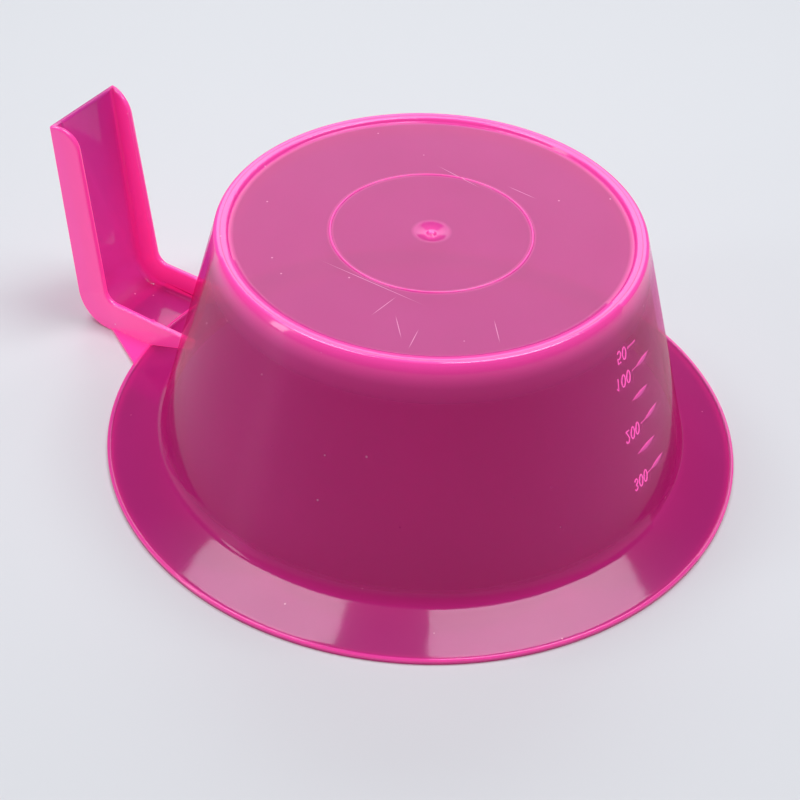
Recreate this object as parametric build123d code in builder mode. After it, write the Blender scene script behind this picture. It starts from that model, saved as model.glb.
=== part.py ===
from build123d import *
import os
from math import atan2, cos, degrees, pi, radians, sin, tan

os.makedirs("parts", exist_ok=True)

# A moulded tint bowl, standing upside down on its brim. Lengths are in millimetres.
# The origin is on the bowl's axis in the plane of the rim, +Z points up the axis to the
# closed base, and the handle leaves along -X.
# The bowl is one moulding. Each region of it is a closed solid that meets its neighbours
# face to face, so that every region can be named, coloured and measured by itself.

# Driving dimensions of the bowl
rim_radius = 70.0
rim_width = 0.8
rim_height = 1.1
mouth_radius = 58.2  # outside of the wall, where the brim's slope reaches it
mouth_height = 5.0
base_radius = 45.1
base_height = 56.6
wall_thickness = 1.4
floor_thickness = 1.5
foot_height = 0.8
foot_inner_radius = 42.0
foot_inner_draft = 0.3  # how far the foot ring's inner side leans outwards

# Smaller features of the bowl
brim_shoulder = 0.95  # height of the brim's upper face where the rim bead starts
mouth_edge_height = 3.7  # lowest point of the inner wall, before the brim's underside
brim_top = mouth_height + 1.0  # level where the wall node ends and the brim node begins
brim_root_fillet = 1.5
mouth_edge_fillet = 0.8
inner_corner_fillet = 2.0
foot_outer_fillet = 0.7
foot_inner_fillet = 0.3
lip_outer_fillet = 0.35
lip_inner_fillet = 0.1
lip_foot_fillet = 0.12
circle_line_radius = 21.1
circle_line_width = 0.6
circle_line_height = 0.2
circle_line_fillet = 0.15
gate_recess_radius = 3.5
gate_recess_floor_radius = 2.4
gate_recess_depth = 0.5
gate_stub_radius = 0.9
gate_stub_height = 0.55
gate_stub_fillet = 0.3

# Driving dimensions of the handle, a channel with its open side towards the bowl
handle_half_width = 10.9
rib_thickness = 1.7
grip_thickness = 1.4
bridge_thickness = 0.9
grip_foot_reach = 89.2  # where the grip's outer face would meet the rim plane
grip_top_reach = 94.4
grip_top_height = 52.0
grip_bend_radius = 8.5
grip_bend_margin = 0.8  # straight stretch of the grip before its bend starts
grip_tip_outer_fillet = 0.5
grip_tip_inner_fillet = 0.3
rib_top_reach = 88.2
rib_corner_reach = 81.8
rib_corner_height = 7.7
rib_root_height = 7.4
rib_top_radius = 5.7
rib_corner_radius = 3.0
gusset_reach = 80.9  # how far along the handle the gussets run
gusset_half_width = 18.6  # half width across the two gussets at the rim
envelope_margin = 1.0  # how far the shape that trims the handle reaches below the rim

# Measuring marks inside the wall: millilitres, height of the tick, first azimuth, length
mark_relief = 0.3
digit_height = 3.0
digit_width = 1.5
digit_stroke = 0.38
digit_pitch = 2.0
tick_width = 0.85
tick_bar_width = 0.57  # width of the plain bar at the lowest volume
tick_slope = 7.0
digit_slope = 3.0
mark_sweep = 1.0  # depth that a mark's outline is swept to each side of the wall's inside
ticks = [
    (50, 45.1, 2.1, 3.4),
    (100, 39.1, 2.9, 8.9),
    (150, 33.0, 0.9, 7.6),
    (200, 26.0, 3.5, 9.2),
    (250, 20.5, 0.0, 8.6),
    (300, 13.9, 3.1, 8.9),
]
# Millilitres, height of the digits, azimuth of the last digit
numerals = [
    (50, 45.1, 0.1),
    (100, 39.5, 0.6),
    (200, 26.7, 1.4),
    (300, 14.6, 2.0),
]

# Levels and slopes that follow from the driving dimensions
wall_lean = atan2(mouth_radius - base_radius, base_height - mouth_height)
floor_top = base_height - foot_height
floor_bottom = floor_top - floor_thickness
rim_inner = rim_radius - rim_width
rib_inner_face = handle_half_width - rib_thickness
grip_lean = atan2(grip_top_reach - grip_foot_reach, grip_top_height)
grip_bend_start = grip_foot_reach - grip_bend_radius * tan((pi / 2 - grip_lean) / 2)
grip_bend_start -= grip_bend_margin


def outer_radius(height):
    """Radius of the wall's outside at a height."""
    return mouth_radius - (height - mouth_height) * tan(wall_lean)


def inner_radius(height):
    """Radius of the wall's inside at a height."""
    return outer_radius(height) - wall_thickness / cos(wall_lean)


def finish(part, name):
    """Label a piece and write its STEP file."""
    part.label = name
    export_step(part, f"parts/{name}.step")


# Wall, with the rounded inside corner where it runs into the floor
corner_reach = inner_corner_fillet * tan((pi / 2 - wall_lean) / 2)
corner_radius_in = inner_radius(floor_bottom)
wall_arc_start = (
    corner_radius_in + corner_reach * sin(wall_lean),
    floor_bottom - corner_reach * cos(wall_lean),
)
wall_arc_end = (corner_radius_in - corner_reach, floor_bottom)
with BuildPart() as bowl_wall:
    with BuildSketch(Plane.XZ):
        with BuildLine():
            TangentArc(wall_arc_start, wall_arc_end, tangent=(-sin(wall_lean), cos(wall_lean)))
            Polyline(
                wall_arc_end,
                (outer_radius(floor_bottom), floor_bottom),
                (outer_radius(brim_top), brim_top),
                (inner_radius(brim_top), brim_top),
                wall_arc_start,
            )
        make_face()
    revolve(axis=Axis.Z)
finish(bowl_wall.part, "bowl_wall")

# Floor, the disc that closes the base, with the shallow recess around the gate
with BuildPart() as bowl_floor:
    with BuildSketch(Plane.XZ):
        with BuildLine():
            Polyline(
                (0, floor_bottom),
                (outer_radius(floor_bottom), floor_bottom),
                (outer_radius(floor_top), floor_top),
                (gate_recess_radius, floor_top),
                (gate_recess_floor_radius, floor_top - gate_recess_depth),
                (0, floor_top - gate_recess_depth),
                close=True,
            )
        make_face()
    revolve(axis=Axis.Z)
finish(bowl_floor.part, "bowl_floor")

# Foot ring, the rounded ridge around the base that the bowl stands on in use
with BuildPart() as foot_ring:
    with BuildSketch(Plane.XZ):
        with BuildLine():
            FilletPolyline(
                (foot_inner_radius, floor_top),
                (outer_radius(floor_top), floor_top),
                (base_radius, base_height),
                (foot_inner_radius + foot_inner_draft, base_height),
                radius=[0, 0, foot_outer_fillet, foot_inner_fillet],
                close=True,
            )
        make_face()
    revolve(axis=Axis.Z)
finish(foot_ring.part, "foot_ring")

# Circle line, a fine raised ring on the base
with BuildPart() as floor_circle_line:
    with BuildSketch(Plane.XZ):
        with BuildLine():
            FilletPolyline(
                (circle_line_radius - circle_line_width / 2, floor_top),
                (circle_line_radius + circle_line_width / 2, floor_top),
                (circle_line_radius + circle_line_width / 2, floor_top + circle_line_height),
                (circle_line_radius - circle_line_width / 2, floor_top + circle_line_height),
                radius=[0, 0, circle_line_fillet, circle_line_fillet],
                close=True,
            )
        make_face()
    revolve(axis=Axis.Z)
finish(floor_circle_line.part, "floor_circle_line")

# Gate stub, the small nub left at the injection point
with BuildPart() as gate_mark:
    with BuildSketch(Plane.XY.offset(floor_top - gate_recess_depth)):
        Circle(gate_stub_radius)
    extrude(amount=gate_stub_height)
    fillet(gate_mark.edges().sort_by(Axis.Z)[-1], radius=gate_stub_fillet)
finish(gate_mark.part, "gate_mark")

# Brim, the sloping flange, with its fillet up to the wall and its rounded mouth edge
with BuildPart() as brim:
    with BuildSketch(Plane.XZ):
        with BuildLine():
            FilletPolyline(
                (inner_radius(brim_top), brim_top),
                (outer_radius(brim_top), brim_top),
                (mouth_radius, mouth_height),
                (rim_inner, brim_shoulder),
                (rim_inner, 0),
                (inner_radius(mouth_edge_height), mouth_edge_height),
                radius=[0, 0, brim_root_fillet, 0, 0, mouth_edge_fillet],
                close=True,
            )
        make_face()
    revolve(axis=Axis.Z)
finish(brim.part, "brim")

# Lip, the bead around the edge of the brim, flat underneath where the bowl rests
with BuildPart() as brim_lip:
    with BuildSketch(Plane.XZ):
        with BuildLine():
            FilletPolyline(
                (rim_inner, 0),
                (rim_radius, 0),
                (rim_radius, rim_height),
                (rim_inner, rim_height),
                radius=[0, lip_foot_fillet, lip_outer_fillet, lip_inner_fillet],
                close=True,
            )
        make_face()
    revolve(axis=Axis.Z)
finish(brim_lip.part, "brim_lip")

# Everything inside the outer surface of the bowl, which the handle's pieces are cut back to
with BuildPart() as bowl_envelope:
    with BuildSketch(Plane.XZ):
        with BuildLine():
            FilletPolyline(
                (0, -envelope_margin),
                (rim_radius, -envelope_margin),
                (rim_radius, rim_height),
                (rim_inner, rim_height),
                (rim_inner, brim_shoulder),
                (mouth_radius, mouth_height),
                (outer_radius(floor_bottom), floor_bottom),
                (0, floor_bottom),
                radius=[0, 0, lip_outer_fillet, lip_inner_fillet, 0, brim_root_fillet, 0, 0],
                close=True,
            )
        make_face()
    revolve(axis=Axis.Z)

# Bridge, the flat web that carries the handle out from the rim
with BuildPart() as handle_bridge:
    with BuildSketch():
        with BuildLine():
            Polyline(
                (-mouth_radius, -rib_inner_face),
                (-grip_bend_start, -rib_inner_face),
                (-grip_bend_start, rib_inner_face),
                (-mouth_radius, rib_inner_face),
                close=True,
            )
        make_face()
    extrude(amount=bridge_thickness)
    add(bowl_envelope.part, mode=Mode.SUBTRACT)
finish(handle_bridge.part, "handle_bridge")

# Grip, the bend and the long back web of the channel
grip_inner_foot = grip_foot_reach + bridge_thickness * tan(grip_lean) - grip_thickness / cos(grip_lean)
grip_inner_top = grip_top_reach - grip_thickness / cos(grip_lean)
with BuildPart() as handle_grip:
    with BuildSketch(Plane.XZ):
        with BuildLine():
            FilletPolyline(
                (-grip_bend_start, 0),
                (-grip_foot_reach, 0),
                (-grip_top_reach, grip_top_height),
                (-grip_inner_top, grip_top_height),
                (-grip_inner_foot, bridge_thickness),
                (-grip_bend_start, bridge_thickness),
                radius=[
                    0,
                    grip_bend_radius,
                    grip_tip_outer_fillet,
                    grip_tip_inner_fillet,
                    grip_bend_radius - grip_thickness,
                    0,
                ],
                close=True,
            )
        make_face()
    extrude(amount=rib_inner_face, both=True)
finish(handle_grip.part, "handle_grip")

# Ribs, the two side walls of the channel, running from the bowl's wall to the grip's end
for name, near_face in (
    ("handle_rib_left", -handle_half_width),
    ("handle_rib_right", rib_inner_face),
):
    with BuildPart() as rib:
        with BuildSketch(Plane.XZ.offset(near_face)):
            with BuildLine():
                FilletPolyline(
                    (-base_radius, 0),
                    (-grip_foot_reach, 0),
                    (-grip_top_reach, grip_top_height),
                    (-rib_top_reach, grip_top_height),
                    (-rib_corner_reach, rib_corner_height),
                    (-base_radius, rib_root_height),
                    radius=[
                        0,
                        grip_bend_radius,
                        grip_tip_outer_fillet,
                        rib_top_radius,
                        rib_corner_radius,
                        0,
                    ],
                    close=True,
                )
            make_face()
        extrude(amount=rib_thickness)
        add(bowl_envelope.part, mode=Mode.SUBTRACT)
    finish(rib.part, name)

# Gussets, the flat triangles that spread the handle's root along the rim
for name, side in (("gusset_left", 1), ("gusset_right", -1)):
    with BuildPart() as gusset:
        with BuildSketch():
            with BuildLine():
                Polyline(
                    (-gusset_reach, side * handle_half_width),
                    (-(rim_radius**2 - gusset_half_width**2) ** 0.5, side * gusset_half_width),
                    (-mouth_radius, side * handle_half_width),
                    close=True,
                )
            make_face()
        extrude(amount=bridge_thickness)
        add(bowl_envelope.part, mode=Mode.SUBTRACT)
    finish(gusset.part, name)


# The skin of plastic, inside the wall, that the raised marks are cut out of
with BuildPart() as mark_layer:
    with BuildSketch(Plane.XZ):
        with BuildLine():
            Polyline(
                (inner_radius(brim_top) - mark_relief, brim_top),
                (inner_radius(brim_top), brim_top),
                (inner_radius(floor_bottom), floor_bottom),
                (inner_radius(floor_bottom) - mark_relief, floor_bottom),
                close=True,
            )
        make_face()
    revolve(axis=Axis.Z)


def wall_plane(height, azimuth, slope):
    """Plane on the inside of the wall: x along the reading direction, y towards the rim."""
    outward = Vector(cos(radians(azimuth)), sin(radians(azimuth)), 0)
    origin = outward * inner_radius(height) + Vector(0, 0, height)
    along = Vector(-sin(radians(azimuth)), cos(radians(azimuth)), 0)
    inward = -outward * cos(wall_lean) - Vector(0, 0, sin(wall_lean))
    return Plane(origin=origin, x_dir=along, z_dir=inward).rotated((0, 0, slope))


def degrees_along(length, height):
    """Angle about the bowl's axis that a length on the inside of the wall covers."""
    return degrees(length / inner_radius(height))


def digit(figure):
    """Sketch of one monoline figure, centred on the origin and drawn with a round pen."""
    top = (digit_height - digit_stroke) / 2
    side = (digit_width - digit_stroke) / 2
    with BuildSketch() as drawn:
        with BuildLine() as strokes:
            if figure == "0":
                CenterArc((0, top - side), side, 0, 180)
                Line((-side, top - side), (-side, side - top))
                CenterArc((0, side - top), side, 180, 180)
                Line((side, side - top), (side, top - side))
            elif figure == "1":
                Polyline((-side, top - side), (0, top), (0, -top))
            elif figure == "2":
                hook = CenterArc((0, top - side), side, 170, -200)
                Polyline(hook @ 1, (-side, -top), (side, -top))
            elif figure == "3":
                CenterArc((0, top / 2), top / 2, 150, -240)
                CenterArc((0, -top / 2), top / 2, 90, -240)
            elif figure == "5":
                Polyline((side, top), (-side * 0.8, top), (-side, top / 5))
                ThreePointArc((-side, top / 5), (side, -top / 2), (-side, -top * 0.85))
        for stroke in strokes.edges():
            trace(stroke, line_width=digit_stroke)
            with Locations(stroke @ 0, stroke @ 1):
                Circle(digit_stroke / 2)
    return drawn.sketch


# Numerals, raised on the inside of the wall and readable from inside the bowl
for volume, height, last_azimuth in numerals:
    figures = str(volume)
    reach = digit_pitch * (len(figures) - 1) / 2
    plane = wall_plane(height, last_azimuth - degrees_along(reach, height), digit_slope)
    with BuildPart() as numeral:
        with BuildSketch(plane):
            for place, figure in enumerate(figures):
                with Locations((digit_pitch * place - reach, 0)):
                    add(digit(figure))
        extrude(amount=mark_sweep, both=True)
        add(mark_layer.part, mode=Mode.INTERSECT)
    finish(numeral.part, f"numeral_{volume}")

# Ticks: a plain bar at 50, and pointed slivers at the others, with a bar where a number is
for volume, height, first_azimuth, length in ticks:
    plane = wall_plane(height, first_azimuth + degrees_along(length / 2, height), tick_slope)
    with BuildPart() as tick:
        with BuildSketch(plane):
            if volume == 50:
                Rectangle(length, tick_bar_width)
            else:
                with BuildLine():
                    ThreePointArc((-length / 2, 0), (0, tick_width / 2), (length / 2, 0))
                    ThreePointArc((length / 2, 0), (0, -tick_width / 2), (-length / 2, 0))
                make_face()
            if volume in (100, 200, 300):
                with Locations((-length / 2 + length / 8, 0)):
                    Rectangle(length / 4, digit_stroke)
        extrude(amount=mark_sweep, both=True)
        add(mark_layer.part, mode=Mode.INTERSECT)
    finish(tick.part, f"tick_{volume}")
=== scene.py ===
import math

import bmesh
import bpy
from mathutils import Matrix, Vector


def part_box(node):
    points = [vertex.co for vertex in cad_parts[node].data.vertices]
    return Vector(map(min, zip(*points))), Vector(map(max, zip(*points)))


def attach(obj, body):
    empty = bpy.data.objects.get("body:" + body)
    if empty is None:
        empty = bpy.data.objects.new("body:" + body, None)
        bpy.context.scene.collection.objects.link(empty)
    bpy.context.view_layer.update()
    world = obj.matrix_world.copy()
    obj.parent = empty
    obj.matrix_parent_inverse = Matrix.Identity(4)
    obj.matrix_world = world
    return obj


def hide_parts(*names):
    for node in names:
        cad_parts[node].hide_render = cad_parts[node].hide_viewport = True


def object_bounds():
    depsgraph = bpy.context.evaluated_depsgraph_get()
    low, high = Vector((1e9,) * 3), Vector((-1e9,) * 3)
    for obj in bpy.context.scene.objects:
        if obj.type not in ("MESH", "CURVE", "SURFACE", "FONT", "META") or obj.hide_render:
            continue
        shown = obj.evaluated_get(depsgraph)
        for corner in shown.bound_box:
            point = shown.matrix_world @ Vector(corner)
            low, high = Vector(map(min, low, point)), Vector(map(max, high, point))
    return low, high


bl_info = {
    "name": "Tint Bowl",
    "version": (1, 0, 0),
    "blender": (4, 5, 0),
    "location": "3D View > Sidebar > Tint Bowl",
    "description": "Builds a moulded tint bowl and its handle around the packed frame",
    "category": "Add Mesh",
}

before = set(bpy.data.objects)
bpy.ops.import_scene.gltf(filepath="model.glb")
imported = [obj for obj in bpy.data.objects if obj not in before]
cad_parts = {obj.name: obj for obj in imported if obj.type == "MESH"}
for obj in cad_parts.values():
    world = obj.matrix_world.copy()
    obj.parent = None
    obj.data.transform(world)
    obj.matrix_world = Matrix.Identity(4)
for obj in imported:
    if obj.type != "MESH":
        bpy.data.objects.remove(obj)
CAD_BOX = [list(corner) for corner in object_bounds()]
BODY = "root"

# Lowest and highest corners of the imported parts, which the pieces are laid out from
WALL_LOW, WALL_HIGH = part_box("bowl_wall")
FLOOR_LOW, FLOOR_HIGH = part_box("bowl_floor")
FOOT_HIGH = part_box("foot_ring")[1]
BRIM_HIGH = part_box("brim")[1]
LIP_LOW, LIP_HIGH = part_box("brim_lip")
LINE_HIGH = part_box("floor_circle_line")[1]
STUB_LOW, STUB_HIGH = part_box("gate_mark")
GRIP_LOW, GRIP_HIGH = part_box("handle_grip")
BRIDGE_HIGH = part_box("handle_bridge")[1]
GUSSET_LOW, GUSSET_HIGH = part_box("gusset_left")
RIB_LOW, RIB_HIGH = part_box("handle_rib_left")

MILLIMETRE = 0.001
TICK_VOLUMES = (50, 100, 150, 200, 250, 300)
NUMERAL_VOLUMES = (50, 100, 200, 300)

# The wall leans in towards the base by this much for each unit of height
WALL_LEAN = math.atan2(WALL_HIGH.y - FLOOR_HIGH.y, FLOOR_LOW.z - WALL_LOW.z)


# --------------------------------------------------------------------------------------
# Sizes and colours that a user would change
# --------------------------------------------------------------------------------------


class TintBowlShell(bpy.types.PropertyGroup):
    wall_thickness: bpy.props.FloatProperty(
        name="Wall Thickness",
        description="Thickness of the conical wall",
        default=1.4 * MILLIMETRE,
        subtype="DISTANCE",
        unit="LENGTH",
    )
    mouth_height: bpy.props.FloatProperty(
        name="Mouth Height",
        description="Height above the rim plane where the wall meets the brim",
        default=5.0 * MILLIMETRE,
        subtype="DISTANCE",
        unit="LENGTH",
    )
    mouth_edge_height: bpy.props.FloatProperty(
        name="Mouth Edge Height",
        description="Height above the rim plane of the rounded edge inside the mouth",
        default=3.7 * MILLIMETRE,
        subtype="DISTANCE",
        unit="LENGTH",
    )
    shoulder_drop: bpy.props.FloatProperty(
        name="Shoulder Drop",
        description="Step from the top of the rim bead down to the brim",
        default=0.15 * MILLIMETRE,
        subtype="DISTANCE",
        unit="LENGTH",
    )
    foot_width: bpy.props.FloatProperty(
        name="Foot Ring Width",
        description="Width of the ridge around the base",
        default=3.1 * MILLIMETRE,
        subtype="DISTANCE",
        unit="LENGTH",
    )
    gate_recess: bpy.props.FloatProperty(
        name="Gate Recess Radius",
        description="Radius of the shallow dish around the gate",
        default=3.5 * MILLIMETRE,
        subtype="DISTANCE",
        unit="LENGTH",
    )
    turn_steps: bpy.props.IntProperty(
        name="Steps Around",
        description="Number of faces around the bowl",
        default=224,
        min=24,
        max=720,
    )


class TintBowlHandle(bpy.types.PropertyGroup):
    bend_radius: bpy.props.FloatProperty(
        name="Bend Radius",
        description="Outside radius of the bend from the bridge to the grip",
        default=8.5 * MILLIMETRE,
        subtype="DISTANCE",
        unit="LENGTH",
    )
    rib_corner_radius: bpy.props.FloatProperty(
        name="Rib Corner Radius",
        description="Radius of the ribs' free edge inside the bend",
        default=3.0 * MILLIMETRE,
        subtype="DISTANCE",
        unit="LENGTH",
    )
    rib_top_radius: bpy.props.FloatProperty(
        name="Rib Top Radius",
        description="Radius of the ribs' rounded end at the tip of the grip",
        default=5.7 * MILLIMETRE,
        subtype="DISTANCE",
        unit="LENGTH",
    )
    rib_thickness: bpy.props.FloatProperty(
        name="Rib Thickness",
        description="Thickness of the channel's side walls at their root",
        default=1.7 * MILLIMETRE,
        subtype="DISTANCE",
        unit="LENGTH",
    )
    grip_thickness: bpy.props.FloatProperty(
        name="Grip Thickness",
        description="Thickness of the grip's back web",
        default=1.4 * MILLIMETRE,
        subtype="DISTANCE",
        unit="LENGTH",
    )
    flare: bpy.props.FloatProperty(
        name="Grip Flare",
        description="How much wider each side of the back web is at the tip than at the bend",
        default=0.35 * MILLIMETRE,
        subtype="DISTANCE",
        unit="LENGTH",
    )
    edge_round: bpy.props.FloatProperty(
        name="Edge Round",
        description="Radius on the channel's outer edges",
        default=0.55 * MILLIMETRE,
        subtype="DISTANCE",
        unit="LENGTH",
    )
    root_round: bpy.props.FloatProperty(
        name="Root Round",
        description="Radius inside the channel where the ribs meet the web",
        default=1.5 * MILLIMETRE,
        subtype="DISTANCE",
        unit="LENGTH",
    )


class TintBowlMarks(bpy.types.PropertyGroup):
    pen_radius: bpy.props.FloatProperty(
        name="Pen Radius",
        description="Half width of the strokes of the numerals",
        default=0.155 * MILLIMETRE,
        subtype="DISTANCE",
        unit="LENGTH",
    )
    digit_pitch: bpy.props.FloatProperty(
        name="Digit Pitch",
        description="Distance from one figure to the next",
        default=2.0 * MILLIMETRE,
        subtype="DISTANCE",
        unit="LENGTH",
    )
    sliver_radius: bpy.props.FloatProperty(
        name="Sliver Radius",
        description="Half width of the long ticks in their middle",
        default=0.62 * MILLIMETRE,
        subtype="DISTANCE",
        unit="LENGTH",
    )
    tick_slant: bpy.props.FloatProperty(
        name="Tick Slant",
        description="How far the ticks dip towards the rim along the reading direction",
        default=math.radians(7.0),
        subtype="ANGLE",
        unit="ROTATION",
    )
    numeral_slant: bpy.props.FloatProperty(
        name="Numeral Slant",
        description="How far the numerals dip towards the rim along the reading direction",
        default=math.radians(4.0),
        subtype="ANGLE",
        unit="ROTATION",
    )


class TintBowlLook(bpy.types.PropertyGroup):
    bowl_tint: bpy.props.FloatVectorProperty(
        name="Bowl Tint",
        description="Colour of the plastic in the wall, base and brim",
        default=(0.55, 0.027, 0.34),
        subtype="COLOR",
        min=0.0,
        max=1.0,
    )
    handle_tint: bpy.props.FloatVectorProperty(
        name="Handle Tint",
        description="Colour of the plastic in the handle's web",
        default=(0.86, 0.05, 0.46),
        subtype="COLOR",
        min=0.0,
        max=1.0,
    )
    # Painted glow colour: it brightens the base colour of the edges, ribs and rings and is also their
    # emission colour
    glow_tint: bpy.props.FloatVectorProperty(
        name="Glow Tint",
        description="Colour of the edges, ribs and rings, where the plastic gathers light",
        default=(1.0, 0.065, 0.41),
        subtype="COLOR",
        min=0.0,
        max=1.0,
    )
    see_tint: bpy.props.FloatVectorProperty(
        name="See-through Tint",
        description="Colour that each face gives to what is seen through it",
        default=(0.93, 0.22, 0.65),
        subtype="COLOR",
        min=0.0,
        max=1.0,
    )
    # Colour of the marks, also used as the colour of their painted glow (emission)
    mark_tint: bpy.props.FloatVectorProperty(
        name="Mark Tint",
        description="Colour that the raised marks catch",
        default=(1.0, 0.62, 0.85),
        subtype="COLOR",
        min=0.0,
        max=1.0,
    )
    clear: bpy.props.FloatProperty(
        name="Clearness",
        description="Share of the light that each face of the wall lets straight through",
        default=0.68,
        min=0.0,
        max=1.0,
        subtype="FACTOR",
    )
    floor_tint: bpy.props.FloatVectorProperty(
        name="Floor Tint",
        description="Colour of the studio floor",
        default=(0.68, 0.67, 0.67),
        subtype="COLOR",
        min=0.0,
        max=1.0,
    )


class TintBowlStage(bpy.types.PropertyGroup):
    camera_place: bpy.props.FloatVectorProperty(
        name="Camera Place",
        description="Where the camera stands",
        default=(0.1780, -0.2998, 0.3016),
        subtype="TRANSLATION",
        unit="LENGTH",
    )
    camera_aim: bpy.props.FloatVectorProperty(
        name="Camera Aim",
        description="Point that the middle of the view looks at",
        default=(-0.0025, -0.0056, 0.0127),
        subtype="TRANSLATION",
        unit="LENGTH",
    )
    camera_roll: bpy.props.FloatProperty(
        name="Camera Roll",
        description="How far the camera is turned about its line of sight",
        default=math.radians(2.44),
        subtype="ANGLE",
        unit="ROTATION",
    )
    camera_lens: bpy.props.FloatProperty(
        name="Camera Lens",
        description="Focal length on a sensor 36 mm wide",
        default=92.1,
        subtype="DISTANCE_CAMERA",
    )


# --------------------------------------------------------------------------------------
# Shared helpers
# --------------------------------------------------------------------------------------


def outer_radius(height):
    """Radius of the wall's outside at a height."""
    return FLOOR_HIGH.y + (FLOOR_LOW.z - height) * math.tan(WALL_LEAN)


def inner_radius(height):
    """Radius of the wall's inside at a height."""
    thickness = bpy.context.scene.tint_bowl_shell.wall_thickness
    return outer_radius(height) - thickness / math.cos(WALL_LEAN)


def add_object(name, bm, material):
    """Turn a bmesh into a smooth-shaded object that carries one material."""
    mesh = bpy.data.meshes.new(name)
    bm.to_mesh(mesh)
    bm.free()
    mesh.shade_smooth()
    mesh.materials.append(material)
    piece = bpy.data.objects.new(name, mesh)
    bpy.context.scene.collection.objects.link(piece)
    return piece


def keep_flats_flat(piece):
    """Weight the shading normals by face area, so that only the rounded edges look round."""
    weighted = piece.modifiers.new("Weighted Normals", "WEIGHTED_NORMAL")
    weighted.mode = "FACE_AREA"
    weighted.weight = 90
    weighted.keep_sharp = True


def round_edges(bm, edges, radius, segments, turn=None):
    """Round edges to a radius. With no turn given, each edge's own face angle is used."""
    turn = turn or max(edge.calc_face_angle(0.0) for edge in edges)
    bmesh.ops.bevel(
        bm,
        geom=edges,
        offset=radius * math.tan(turn / 2),
        offset_type="OFFSET",
        affect="EDGES",
        segments=segments,
        profile=0.5,
        material=-1,
        clamp_overlap=False,
        loop_slide=True,
    )


# --------------------------------------------------------------------------------------
# Materials
# --------------------------------------------------------------------------------------


def node(tree, kind, place, **settings):
    """Add one shader node and set its properties."""
    made = tree.nodes.new(kind)
    made.location = place
    for key, value in settings.items():
        setattr(made, key, value)
    return made


def mapped_noise(tree, coordinate, place, scale, stretch=(1, 1, 1), turn=(0, 0, 0), detail=2.0):
    """Noise on Object coordinates, turned and stretched, scale in cycles per metre."""
    mapping = node(tree, "ShaderNodeMapping", place)
    mapping.inputs["Rotation"].default_value = [math.radians(angle) for angle in turn]
    mapping.inputs["Scale"].default_value = stretch
    noise = node(tree, "ShaderNodeTexNoise", (place[0] + 200, place[1]))
    noise.inputs["Scale"].default_value = scale
    noise.inputs["Detail"].default_value = detail
    tree.links.new(coordinate, mapping.inputs["Vector"])
    tree.links.new(mapping.outputs["Vector"], noise.inputs["Vector"])
    return noise.outputs["Fac"]


def ramp(tree, value, place, stops):
    """Colour ramp in grey, from a list of position and brightness."""
    made = node(tree, "ShaderNodeValToRGB", place)
    elements = made.color_ramp.elements
    while len(elements) < len(stops):
        elements.new(0.5)
    for element, (position, grey) in zip(elements, stops):
        element.position = position
        element.color = (grey, grey, grey, 1.0)
    tree.links.new(value, made.inputs["Fac"])
    return made.outputs["Color"]


def calculate(tree, operation, first, second, place, clamp=False):
    """One Math node. Either input may be a number or a socket."""
    made = node(tree, "ShaderNodeMath", place, operation=operation, use_clamp=clamp)
    for socket, value in zip(made.inputs, (first, second)):
        if isinstance(value, (int, float)):
            socket.default_value = value
        else:
            tree.links.new(value, socket)
    return made.outputs["Value"]


SCRATCH_HALF_WIDTH = 0.11 * MILLIMETRE
SCRATCH_DEPTH = 0.5 * MILLIMETRE
SCRATCH_TINT = (1.0, 0.62, 0.82)
SCRATCH_SHARE = 0.55


def straight_scratch(tree, coordinate, place, middle, length, turn):
    """One long pointed scratch on the outside of the base, 1 on the scratch and 0 off it."""
    mapping = node(tree, "ShaderNodeMapping", place, vector_type="TEXTURE")
    mapping.inputs["Location"].default_value = (*middle, FLOOR_HIGH.z)
    mapping.inputs["Rotation"].default_value = (0, 0, math.radians(turn))
    mapping.inputs["Scale"].default_value = (length / 2, SCRATCH_HALF_WIDTH, SCRATCH_DEPTH)
    tree.links.new(coordinate, mapping.inputs["Vector"])
    reach = node(tree, "ShaderNodeVectorMath", (place[0] + 200, place[1]), operation="LENGTH")
    tree.links.new(mapping.outputs["Vector"], reach.inputs[0])
    return ramp(tree, reach.outputs["Value"], (place[0] + 400, place[1]), [(0.6, 1), (1.0, 0)])


# Dust: cells for each metre, radius of a speck in cells, and the share of cells without one
SPECK_CELLS, SPECK_REACH, SPECK_FREE = 240.0, 0.065, 0.72


def specks(tree, coordinate, place):
    """Tiny spots of dust, one in a few of the cells of a Voronoi pattern."""
    cells = node(tree, "ShaderNodeTexVoronoi", place)
    cells.inputs["Scale"].default_value = SPECK_CELLS
    tree.links.new(coordinate, cells.inputs["Vector"])
    left, level = place
    stops = [(SPECK_REACH * 0.6, 1), (SPECK_REACH, 0)]
    spot = ramp(tree, cells.outputs["Distance"], (left + 220, level), stops)
    split = node(tree, "ShaderNodeSeparateColor", (left + 220, level - 240))
    tree.links.new(cells.outputs["Color"], split.inputs["Color"])
    red = split.outputs["Red"]
    chosen = calculate(tree, "GREATER_THAN", red, SPECK_FREE, (left + 420, level - 240))
    return calculate(tree, "MULTIPLY", spot, chosen, (left + 620, level))


def mixed_colour(tree, share, first, second, place):
    """One Mix node for colours. Each of the two may be a colour or a socket."""
    made = node(tree, "ShaderNodeMix", place, data_type="RGBA")
    tree.links.new(share, made.inputs["Factor"])
    for name, value in (("A", first), ("B", second)):
        if isinstance(value, bpy.types.NodeSocket):
            tree.links.new(value, made.inputs[name])
        else:
            made.inputs[name].default_value = (*value, 1.0)
    return made.outputs["Result"]


# Strength of the painted glow (emission) on the thick edges and on the marks, standing in for the light
# that the plastic gathers
EDGE_PAINTED_GLOW = 0.4
MARK_PAINTED_GLOW = 0.95

# Share of the clearness that the thickest plastic loses
THICK_LOSS = 0.8

# Roughness of the gloss where the noise is low and where it is high, and more on a scratch
GLOSS_STOPS = [(0.35, 0.28), (0.7, 0.36)]
SCRATCH_ROUGHNESS = 0.25

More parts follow.
